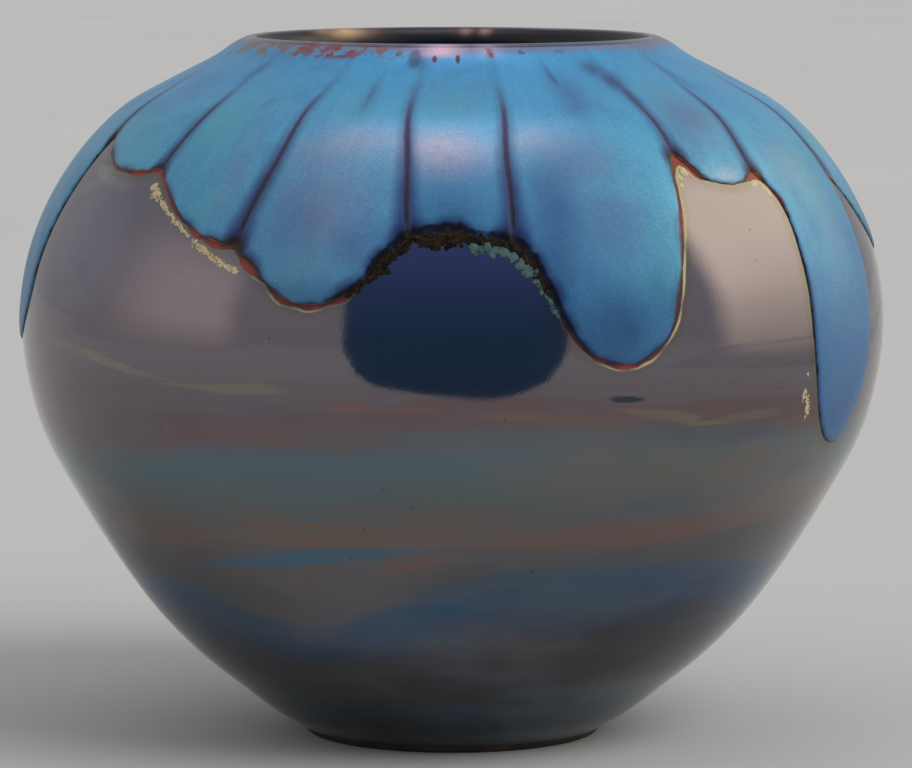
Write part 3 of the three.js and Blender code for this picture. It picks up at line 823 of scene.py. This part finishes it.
# Rust threads on the lip, and the pale pink patch at its front, which is a painted highlight on the glossy
# crest
FLECK_SPOTS = [
    (-66, 4, 6, 0.9), (-54, 4, 7, 1), (-42, 4, 7, 1), (-30, 4, 9, 1), (-17, 4, 4, 0.9), (9, 4, 1.5, 0.8),
    (17, 4, 2, 0.6), (60, 4, 8, 0.3), (110, 4, 16, 0.8), (165, 4, 14, 0.7), (205, 4, 12, 0.9),
    (250, 4, 10, 0.6),
]
LIP_HIGHLIGHT_SPOTS = [(-3, 3.5, 4.5, 1), (9, 3.5, 3, 0.45), (150, 3, 8, 0.4)]
# A peach bloom on the inside glaze, under the lip
PEACH_SPOTS = [
    (214, 2.0, 6, 1.6, 0.95), (222, 1.6, 4, 1.2, 0.4), (176, 2.2, 1.6, 1.2, 0.5),
    (170, 2.2, 1.6, 1.2, 0.4), (60, 3, 5, 2, 0.5), (330, 3, 5, 2, 0.5), (120, 14, 9, 6, 0.4),
    (290, 16, 9, 7, 0.4),
]
# Dusky patches in the blue: creases that have healed, and smoke at the top of a seam
DUSK_SPOTS = [
    (-15.6, 23, 0.9, 7, 0.65), (-15.6, 26, 2.2, 7, 0.25), (21.6, 15, 0.7, 5, 0.75),
    (22.5, 25, 3.5, 10, 0.3), (33.4, 12, 2.8, 3.6, 0.7), (34.9, 17.5, 2.6, 5, 0.85),
    (35.8, 24, 1.6, 6, 0.75), (-49, 14, 1.6, 5, 0.4), (-8, 8, 1.6, 3, 0.6), (14, 60, 5, 12, 0.3),
    (55, 15, 1.8, 6, 0.35), (-35, 27, 1.5, 3, 0.2), (125, 18, 3, 8, 0.5), (190, 16, 2, 9, 0.5),
    (235, 18, 3, 8, 0.5),
]
# Clouds in the blue, and patches of painted highlight:
TURQUOISE_SPOTS = [
    (-40, 36, 9, 14, 0.7), (-37, 55, 8, 8, 0.5), (-58, 44, 9, 7, 0.4), (0, 26, 9, 8, 0.6),
    (28, 68, 7, 12, 0.55), (-18, 71, 8, 6, 0.6), (62, 52, 8, 10, 0.7), (43, 22, 7, 8, 0.4),
    (-20, 27, 8, 8, 0.4), (112, 60, 12, 20, 0.6), (205, 40, 12, 12, 0.6), (150, 70, 10, 16, 0.5),
    (240, 45, 12, 14, 0.6),
]
# Lilac clouds; the three in the front runs at depths of about 45 lie where the light from above gives its
# sheen, and are partly a painted highlight
LILAC_AND_SHEEN_SPOTS = [
    (-20, 44, 10, 7, 0.6), (-17, 56, 13, 15, 0.6), (0, 46, 10, 4.5, 0.65), (19, 45, 9, 8, 0.5),
    (22, 60, 8, 9, 0.35), (44, 34, 8, 9, 0.5), (-33, 46, 4, 13, 0.35), (63, 64, 5, 12, 0.25),
    (106, 60, 14, 22, 0.5), (147, 50, 14, 20, 0.5), (187, 45, 14, 18, 0.6), (229, 60, 16, 24, 0.5),
    (250, 44, 12, 14, 0.4),
]
DEEP_SPOTS = [
    (21, 84, 10, 10, 0.9), (20, 46, 11, 9, 0.3), (22, 60, 9, 10, 0.4), (43, 34, 8, 9, 0.3),
    (0, 22, 14, 10, 0.2), (14, 74, 5, 9, 0.6), (27, 80, 5, 10, 0.5), (0, 58, 8, 3, 0.5),
    (-19, 76, 8, 3, 0.4), (63, 108, 8, 6, 0.4), (187, 84, 10, 8, 0.7), (229, 102, 10, 9, 0.7),
    (107, 94, 10, 8, 0.5), (147, 90, 10, 8, 0.5),
]
VIOLET_SPOTS = [
    (-1, 54, 9, 5, 0.65), (14, 56, 7, 13, 0.6), (-13, 65, 7, 6, 0.45), (39, 42, 4, 7, 0.35),
    (-22, 60, 9, 11, 0.4), (63, 104, 8, 9, 0.4), (68, 84, 4, 20, 0.25), (-60, 22, 6, 9, 0.25),
    (24, 22, 5, 9, 0.3), (127, 45, 10, 14, 0.5), (187, 74, 10, 14, 0.6), (229, 92, 10, 14, 0.6),
    (168, 40, 8, 14, 0.4),
]
# A painted highlight: pale lilac-white patches in the blue where the light from above gives its sheen
PAINTED_HIGHLIGHT_SPOTS = [
    (-2, 41, 10, 5.0, 0.85), (-14, 39, 9, 4.5, 0.5), (12, 39, 7, 4.5, 0.4), (43.6, 50.6, 4.2, 1.9, 0.6),
    (60, 49, 9, 7, 0.25), (150, 40, 9, 5, 0.4), (208, 40, 9, 5, 0.4),
]
# The colours of the clouds, and of the painted highlight
CLOUDS_AND_HIGHLIGHT = {
    "turquoise": srgb(92, 178, 198), "lilac": srgb(140, 138, 180), "violet": srgb(60, 88, 150),
    "deep": srgb(34, 88, 134), "frost": srgb(194, 188, 208),
}
# The patches that each value is made of, and what the value is far from all of them
PATCHES = {
    "cream": (CREAM_SPOTS, 0.08), "red": (RED_SPOTS, 0.12), "dark": (DARK_SPOTS, 0.12),
    "fleck": (FLECK_SPOTS, 0.05), "pale": (LIP_HIGHLIGHT_SPOTS, 0), "peach": (PEACH_SPOTS, 0),
    "dusk": (DUSK_SPOTS, 0), "turquoise": (TURQUOISE_SPOTS, 0), "lilac": (LILAC_AND_SHEEN_SPOTS, 0),
    "deep": (DEEP_SPOTS, 0), "violet": (VIOLET_SPOTS, 0), "frost": (PAINTED_HIGHLIGHT_SPOTS, 0),
}


def spread(spots, far, places):
    """The strongest of several soft round patches at each place."""
    best = np.full(len(places), float(far))
    radius = outer.radius(places[:, 1])
    for angle, depth, *reach, strength in spots:
        turn = (places[:, 0] - angle + 180) % 360 - 180
        across = np.radians(turn) * radius / reach[0]
        down = (places[:, 1] - depth) / reach[-1]
        best = np.maximum(best, strength * np.exp(-(across**2 + down**2)))
    return best


def patches(places, *names):
    return {name: spread(*PATCHES[name], places) for name in names}


def crust(spots):
    """How thickly the dried crust lies at each spot."""
    rows = [(*place, reach, 1.0) for path, reach in CRUST_PATHS for place in stepped(path, CRUST_STEP)]
    return spread(rows, 0, spots)


def clay_piece():
    """The thrown clay, bare only at its foot ring and the recess inside it."""
    wall_depths = np.linspace(outer.length - LUSTRE_FOOT_GAP, 0, WALL_ROWS)
    inside_depths = np.linspace(0, inner.length - CLAY_MIDDLE, INSIDE_ROWS)[1:]
    r_out, z_out = outer.section(wall_depths, -GLAZE - UNDER)
    r_in, z_in = inner.section(inside_depths, -GLAZE - UNDER)
    profile = [*FOOT, *zip(r_out, z_out), *zip(r_in, z_in), (0, INSIDE_FLOOR - GLAZE - UNDER)]
    points, faces = revolved(profile, COLUMNS, False)
    return piece("stoneware_body", points, faces, clay_material(), ["clay_body"])


def lip_piece():
    """The glaze band over the lip, thinning out under the lustre and the runs."""
    out_depths = np.linspace(BAND_REACH, 0, BAND_ROWS)
    in_depths = np.linspace(0, BAND_REACH, BAND_ROWS_INSIDE)[1:]
    swell_out, swell_in = smoothstep(BAND_REACH, 3.5, out_depths), smoothstep(BAND_REACH, 3, in_depths)
    r_out, z_out = outer.section(out_depths, BAND_SWELL_OUT * swell_out - BAND_SUNK)
    r_in, z_in = inner.section(in_depths, BAND_SWELL_IN * swell_in - BAND_SUNK)
    back_in, back_out = inner.section(in_depths[::-1], -GLAZE), outer.section(out_depths[::-1][1:], -GLAZE)
    profile = [*zip(r_out, z_out), *zip(r_in, z_in), *zip(*back_in), *zip(*back_out)]
    points, faces = revolved(profile, COLUMNS, True)
    turns = np.tile(np.linspace(0, 360, COLUMNS, endpoint=False), len(profile))
    places = np.stack([turns, np.full(len(turns), 3.0)], 1)
    rows = np.zeros(len(profile))
    rows[len(out_depths) : len(out_depths) + len(in_depths)] = in_depths
    inside = np.repeat(rows, COLUMNS)
    values = {"inside": inside, **patches(places, "fleck", "pale"),
              **patches(np.stack([turns, inside], 1), "peach")}
    return piece("lip_glaze", points, faces, lip_material(), ["lip_glaze_band"], values)


def liner_piece():
    """The inside glaze, from the throat to the middle of the floor."""
    depths = np.linspace(LINER_TOP, inner.length - LINER_MIDDLE, LINER_ROWS)
    face, back = inner.section(depths, 0.0), inner.section(depths[::-1], -GLAZE)
    profile = [(0, INSIDE_FLOOR - GLAZE), *zip(*back), *zip(*face), (0, INSIDE_FLOOR)]
    points, faces = revolved(profile, COLUMNS, False)
    rows = np.repeat(np.concatenate([depths[::-1], depths]), COLUMNS)
    turns = np.tile(np.linspace(0, 360, COLUMNS, endpoint=False), len(depths) * 2)
    places = np.stack([np.append(turns, [0, 0]), np.append(rows, [depths[-1], depths[-1]])], 1)
    return piece("liner_glaze", points, faces, liner_material(), ["inner_liner_glaze"],
                 patches(places, "peach"))


def lustre_piece(line, tree):
    """The ground glaze over the outside, with rows of points round the runs that carry their stains."""
    top, bottom = LUSTRE_TOP_EDGE, outer.length - LUSTRE_FOOT_GAP
    depths = np.linspace(top, bottom, round((bottom - top) / GRID) + 1)
    angles = np.linspace(-180, 180, COLUMNS + 1)
    grid = np.stack(np.meshgrid(angles, depths), -1).reshape(-1, 2)
    closest = distances(tree, grid)
    rim = (grid[:, 1] < top + 0.1) | (grid[:, 1] > bottom - 0.1) | (np.abs(grid[:, 0]) > 179.9)
    spots = [grid[rim | (closest > LUSTRE_RINGS[-1] + GRID * 0.4) | (outside(line, grid) < 0)]]
    for distance in LUSTRE_RINGS:
        ring = offset(line, abs(distance), math.copysign(1, distance))
        ring[:, 0] = (ring[:, 0] + 180) % 360 - 180
        clear = distances(tree, ring) > abs(distance) * 0.97 - 0.05
        spots.append(ring[clear & (np.abs(ring[:, 0]) < 179.4)])
    spots, faces = triangles(np.vstack(spots), 0)
    spots, faces = welded(spots, faces)
    front = outer.place(spots[:, 0], spots[:, 1])
    back = outer.place(spots[:, 0], spots[:, 1], -GLAZE)
    points, faces = slab(front, back, faces)
    away = distances(tree, spots) * np.sign(outside(line, spots))
    normals = outer.normal(spots[:, 0], spots[:, 1])
    values = both_sides({
        "depth": spots[:, 1], "edge": np.maximum(away, -1), "band": band_places(spots),
        "crust": crust(spots), **patches(spots, "red", "cream", "dark"),
    })
    return piece("lustre_ground", points, faces, lustre_material(), ["ground_lustre_glaze"],
                 values, np.vstack([normals, -normals]))


def outside(line, spots):
    """How far spots lie below the free edges, straight down: negative under the runs."""
    order = np.argsort(line[:, 0])
    turn = (spots[:, 0] - line[order[0], 0]) % 360 + line[order[0], 0]
    return spots[:, 1] - np.interp(turn, line[order, 0], line[order, 1]) + 1e-6


def welded(spots, faces):
    """A flat layout that covers a full turn, joined where its two ends meet."""
    ends = {round(d, 2): i for i, (a, d) in enumerate(spots) if a < -179.99}
    goes_to = [ends[round(d, 2)] if a > 179.99 else i for i, (a, d) in enumerate(spots)]
    keep = sorted(set(goes_to))
    number = {old: new for new, old in enumerate(keep)}
    return spots[keep], [tuple(number[goes_to[v]] for v in f) for f in faces]


def run_piece(i, material, rng):
    """One run of overglaze, with a rounded free edge and sunken seams at both sides."""
    left, right = seam_line(SEAMS[i], OUTLINE_STEP), seam_line(SEAMS[i + 1], OUTLINE_STEP)
    free = free_edge(i, OUTLINE_STEP)
    span = SEAMS[i + 1][0] - SEAMS[i][0]
    across = max(6, round(math.radians(span) * outer.radius(RUN_TOP) / OUTLINE_STEP / 1.4))
    top = np.stack([np.linspace(left[0, 0], right[0, 0], across), np.full(across, float(RUN_TOP))], 1)
    loop = np.vstack([top[:-1], right[:-1], free[::-1][:-1], left[::-1][:-1]])
    sides = np.vstack([seam_line(SEAMS[i], TREE_STEP), seam_line(SEAMS[i + 1], TREE_STEP)])
    seam_tree, free_tree = tree_of(sides), tree_of(free_edge(i, TREE_STEP))
    low, high = loop.min(0), loop.max(0)
    step = math.degrees(RUN_GRID / RUN_GRID_RADIUS)
    columns, rows = np.arange(low[0], high[0], step), np.arange(low[1] + 1, high[1], RUN_GRID)
    grid = np.stack(np.meshgrid(columns, rows), -1).reshape(-1, 2)
    grid = grid[within(grid, loop)]
    gap = np.minimum(distances(seam_tree, grid), distances(free_tree, grid))
    spots = [loop, grid[gap > RUN_RINGS[-1] + RUN_GRID * 0.4]]
    for distance in RUN_RINGS:
        for line, side in ((left, -1), (right, 1), (free, -1)):
            ring = offset(line, distance, side)[1:-1]
            ring = ring[within(ring, loop)]
            if len(ring):
                # kept where no other edge comes nearer than the ring's own distance
                gap = np.minimum(distances(seam_tree, ring), distances(free_tree, ring))
                spots.append(ring[(gap > distance * 0.96 - 0.03) & (ring[:, 1] > RUN_TOP + 0.4)])
    spots, faces = triangles(np.vstack(spots), len(loop))
    edge, seam, depth = distances(free_tree, spots), distances(seam_tree, spots), spots[:, 1]
    lift = run_lift(edge, seam, depth)
    front = outer.place(spots[:, 0], depth, lift)
    back = outer.place(spots[:, 0], depth, np.minimum(lift - 0.05, -RUN_SUNK))
    points, faces = slab(front, back, faces)
    values = both_sides({
        "edge": edge, "seam": seam, "depth": depth, "tone": np.full(len(spots), rng.random()),
        "across": np.radians(spots[:, 0]) * SHEET_SCALE,
        **patches(spots, *CLOUDS_AND_HIGHLIGHT, "dusk", "dark", "red", "fleck", "pale"),
    })
    return piece(f"blue_run_{i + 1:02d}", points, faces, material,
                 [f"blue_glaze_run_{i + 1:02d}"], values)


def rounded(distance, width):
    t = np.clip(distance / width, 0, 1)
    return np.sqrt(np.maximum(0, 1 - (1 - t) ** 2))


def run_lift(edge, seam, depth):
    """How far the overglaze stands off the lustre at each point of a run."""
    pooled = np.exp(-(((edge - POOL_PLACE) / POOL_REACH) ** 2)) * smoothstep(*POOL_DEPTHS, depth)
    thick = RUN_THICK + RUN_TIP_THICK * pooled
    sunk = smoothstep(*SEAM_DEPTHS, depth)
    groove = 1 - sunk * (1 - SEAM_FLOOR) * (1 - smoothstep(0, SEAM_ROUND, seam))
    start = smoothstep(RUN_TOP, RUN_FULL, depth)
    return thick * rounded(edge, FREE_ROUND) * groove * start + 0.05 * (1 - start)


def stepped(line, step):
    """Places along a broken line of angles and depths."""
    return resampled(np.array(line, float), step)


# Crumbs along the edges: the path, how far they scatter across it, their size and the gap between them
CREAM_CRUMBS = [
    ([(-47.0, 54.3), (-44.3, 57.7), (-41.6, 60.6), (-39.6, 62.8), (-37.8, 64.5)], 0.32, 0.24, 0.3, 1.0),
    ([(-36.4, 66.1), (-33.3, 68.8), (-31.2, 70.8), (-29.2, 71.9)], 0.36, 0.28, 0.28, 1.0),
    ([(35.8, 47.6), (36.2, 48.8)], 0.3, 0.26, 0.3, 1.0),
    ([(50.0, 52.2), (51.0, 53.8)], 0.3, 0.24, 0.3, 1.0),
    ([(52.6, 102), (53.6, 106)], 0.5, 0.24, 0.4, 1.0),
]
DARK_CRUMBS = [
    ([(-13.2, 75.9), (-11, 72.4), (-8.4, 68.6), (-5.8, 64.7)], 0.4, 0.66, 0.32, 1.3),
    ([(-5.8, 64.0), (-2, 63.2), (1.5, 63.0), (4.5, 64.0), (8, 65.5)], 0.42, 0.70, 0.30, 1.3),
    ([(8, 65.4), (10.4, 70.4), (12.1, 76.4)], 0.25, 0.46, 0.34, 1.4),
    ([(-4.5, 64.6), (-1, 64.8), (1.6, 64.4)], 0.45, 0.55, 0.55, 1.3),
    ([(-11, 73.4), (-8.4, 70.4)], 0.5, 0.6, 0.5, 1.2),
]
TEAL_CRUMBS = [
    ([(3.2, 65.3), (5.5, 66.2), (8.2, 68.2), (10.2, 71.6)], 0.6, 0.7, 0.34, 1.3),
    ([(10.2, 72.0), (12, 76.5), (13.2, 81)], 0.25, 0.36, 0.36, 1.2),
]
# The kinds of crust, with their pale and dark colours and the colour of their specks
CRUSTS = [
    ("cream", CREAM_CRUMBS, srgb(222, 206, 164), srgb(178, 156, 112), srgb(130, 92, 62)),
    ("dark", DARK_CRUMBS, srgb(42, 28, 12), srgb(14, 9, 8), srgb(60, 52, 22)),
    ("teal", TEAL_CRUMBS, srgb(76, 108, 108), srgb(54, 80, 86), srgb(92, 98, 70)),
]


def crumbs_piece(name, rows, material, rng):
    """Many small flattened lumps along the edges of the runs, as one piece."""
    made = bmesh.new()
    bmesh.ops.create_icosphere(made, subdivisions=2, radius=1)
    made.verts.ensure_lookup_table()
    shape = np.array([v.co[:] for v in made.verts])
    faces = [tuple(v.index for v in f.verts) for f in made.faces]
    made.free()
    all_points, all_faces = [], []
    for path, scatter, size, gap, drawn in rows:
        for angle, depth in stepped(path, gap):
            radius = float(outer.radius(depth))
            sideways = math.degrees(rng.gauss(0, scatter) / radius)
            spot = np.array([[angle + sideways, depth + rng.gauss(0, scatter)]])
            centre = outer.place(spot[:, 0], spot[:, 1], CRUMB_LIFT)[0]
            up = outer.normal(spot[:, 0], spot[:, 1])[0]
            turn = math.radians(spot[0, 0])
            side = np.array([math.cos(turn), math.sin(turn), 0])
            down = np.cross(up, side)
            spin = rng.uniform(0, math.pi)
            along = side * math.cos(spin) + down * math.sin(spin)
            cross = np.cross(up, along)
            big = size * rng.uniform(*CRUMB_SIZES)
            waves = np.array([rng.uniform(2, 5) for _ in range(3)])
            lumps = 1 + CRUMB_LUMPS * np.sin(shape @ waves + rng.uniform(0, 6))
            local = shape * lumps[:, None] * big
            flat = local * (rng.uniform(*CRUMB_STRETCH) * drawn, 1, CRUMB_FLAT)
            points = flat @ np.array([along, cross, up])
            all_faces += [tuple(v + len(all_points) * len(shape) for v in f) for f in faces]
            all_points.append(points + centre)
    return piece(name, np.vstack(all_points), all_faces, material, [])


# -------------------- the studio

FLOOR_HALF = 6.0  # metres, as everything in the studio
OFF_FLOOR = 0.0015  # height of the cards that lie on the floor
ROOM = (0.45, 0.45, 0.45)
SUN_TOWARDS = (0.75, -0.55, 0.8)
SUN_STRENGTH = 1.2
SUN_SPREAD = 42  # degrees
SUN_COLOUR = (1, 0.985, 0.97)
LENS = 212.8  # millimetres, on a sensor 36 wide
SENSOR = 36
CAMERA_PLACE = (0.0008, -1.25, 0.2159)
CAMERA_FALL = 6.148  # degrees below the horizon


def card(name, corners, low, high, fades):
    """A flat card seen only in the gloss of the glaze, going from one light to another along its fades."""
    mesh = bpy.data.meshes.new(name)
    mesh.from_pydata(corners, [], [tuple(range(len(corners)))])
    made = new_object(name, mesh)
    g = Graph(name)
    place = g.node("ShaderNodeSeparateXYZ", {"Vector": g.spot}).outputs
    share = 1.0
    for axis, start, full in fades:
        share = g.times(g.span(place[axis], start, full), share)
    brightest = max(*low, *high)
    ends = [(*(v / brightest for v in light), 1) for light in (low, high)]
    glow = g.node("ShaderNodeEmission", {"Color": g.mix(share, *ends), "Strength": brightest})
    output = g.node("ShaderNodeOutputMaterial")
    g.tree.links.new(glow.outputs[0], output.inputs["Surface"])
    mesh.materials.append(g.material)
    for kind in ("camera", "diffuse", "shadow", "transmission"):
        setattr(made, f"visible_{kind}", False)


DARK_LOW, DARK_HIGH = (0.044, 0.100, 0.185), (0.115, 0.170, 0.410)
DARK_FADE = [("Z", 0.1, 1.7)]


def cards():
    """What the lustre mirrors: the unlit room in front, and soft light from both sides and from above."""
    near = [(-0.80, -1.55), (-0.58, -1.18), (-0.23, -0.542), (-0.132, -0.394), (-0.068, -0.345),
            (0, -0.322), (0.049, -0.308), (0.082, -0.319), (0.118, -0.350), (0.168, -0.408),
            (0.413, -0.824), (0.84, -1.55)]
    card("dark_floor", [(x, y, OFF_FLOOR) for x, y in near], DARK_LOW, DARK_HIGH, DARK_FADE)
    wall = [(-0.80, 0), (0.84, 0), (0.92, 0.75), (1.25, 2.6), (-1.1, 2.6), (-0.83, 0.75)]
    card("dark_wall", [(x, -1.55, z) for x, z in wall], DARK_LOW, DARK_HIGH, DARK_FADE)
    right = [(-0.80, 1.3), (-0.58, 0.02), (1.6, 0.02), (1.6, 2.2), (-0.80, 2.2)]
    card("right_panel", [(1.5, y, z) for y, z in right], ROOM, (2.2, 1.92, 1.38),
         [("Y", -0.58, -0.30), ("Y", 1.5, 0.7), ("Z", -0.45, 0.95), ("Z", 2.2, 1.5)])
    low = [(0.5, -0.4), (1.5, -0.55), (1.5, 1.4), (0.5, 1.4)]
    card("right_floor", [(x, y, OFF_FLOOR) for x, y in low], ROOM, (0.88, 0.79, 0.69),
         [("X", 0.5, 1.45), ("Y", -0.45, -0.15)])
    left = [(-1.1, 0), (0.7, 0), (0.7, 1.4), (-1.1, 1.4)]
    card("left_panel", [(-1.5, y, z) for y, z in left], ROOM, (0.86, 0.77, 0.69),
         [("Y", 0.6, -0.4), ("Y", -1.08, -0.74), ("Z", -0.1, 0.3), ("Z", 1.3, 0.6)])
    above = [(-0.7, -0.4), (0.8, -0.4), (0.8, 0.6), (-0.7, 0.6)]
    card("overhead_panel", [(x, y, 1.5) for x, y in above], ROOM, (2.7, 2.2, 2.35),
         [("X", -0.6, -0.05), ("X", 0.75, 0.15), ("Y", -0.32, -0.05), ("Y", 0.5, 0.2)])


def sun(towards, strength, spread_degrees, colour):
    """A broad soft light from one side of the sky, with no place of its own."""
    data = bpy.data.lights.new("key", "SUN")
    data.energy = strength
    data.angle = math.radians(spread_degrees)
    data.color = colour
    made = new_object("key", data)
    made.rotation_euler = (-Vector(towards)).to_track_quat("-Z", "Y").to_euler()
    made.visible_camera = False
    made.visible_glossy = False


def floor():
    mesh = bpy.data.meshes.new("floor")
    h = FLOOR_HALF
    mesh.from_pydata([(-h, -h, 0), (h, -h, 0), (h, h, 0), (-h, h, 0)], [], [(0, 1, 2, 3)])
    made = new_object("floor", mesh)
    g = Graph("floor")
    paper = g.noise(3, 3, 0.5)
    colour = g.ramp(paper, [(0.3, (0.71, 0.71, 0.70, 1)), (0.7, (0.735, 0.735, 0.725, 1))])
    mesh.materials.append(g.finish(Base_Color=colour, Roughness=0.9, Specular_IOR_Level=0.1))


def studio():
    scene = bpy.context.scene
    scene.view_settings.view_transform = "Standard"
    world = bpy.data.worlds.new("studio")
    scene.world = world
    world.use_nodes = True
    background = world.node_tree.nodes["Background"]
    background.inputs["Color"].default_value = (*ROOM, 1)
    background.inputs["Strength"].default_value = 1
    floor()
    cards()
    sun(SUN_TOWARDS, SUN_STRENGTH, SUN_SPREAD, SUN_COLOUR)


def camera():
    data = bpy.data.cameras.new("camera")
    data.lens = LENS
    data.sensor_width = SENSOR
    made = new_object("camera", data)
    made.location = CAMERA_PLACE
    made.rotation_euler = (math.radians(90 - CAMERA_FALL), 0, 0)
    bpy.context.scene.camera = made


camera()
studio()
clay_piece()
liner_piece()
lip_piece()
edge_line = outline(OUTLINE_STEP)
lustre_piece(edge_line, tree_of(outline(TREE_STEP)))
draws = random.Random(7)
blue = blue_material()
for index in range(len(EDGES)):
    run_piece(index, blue, draws)
for kind, paths, *colours in CRUSTS:
    crumbs_piece(f"{kind}_crumbs", paths, crust_material(f"{kind}_crust", *colours), draws)
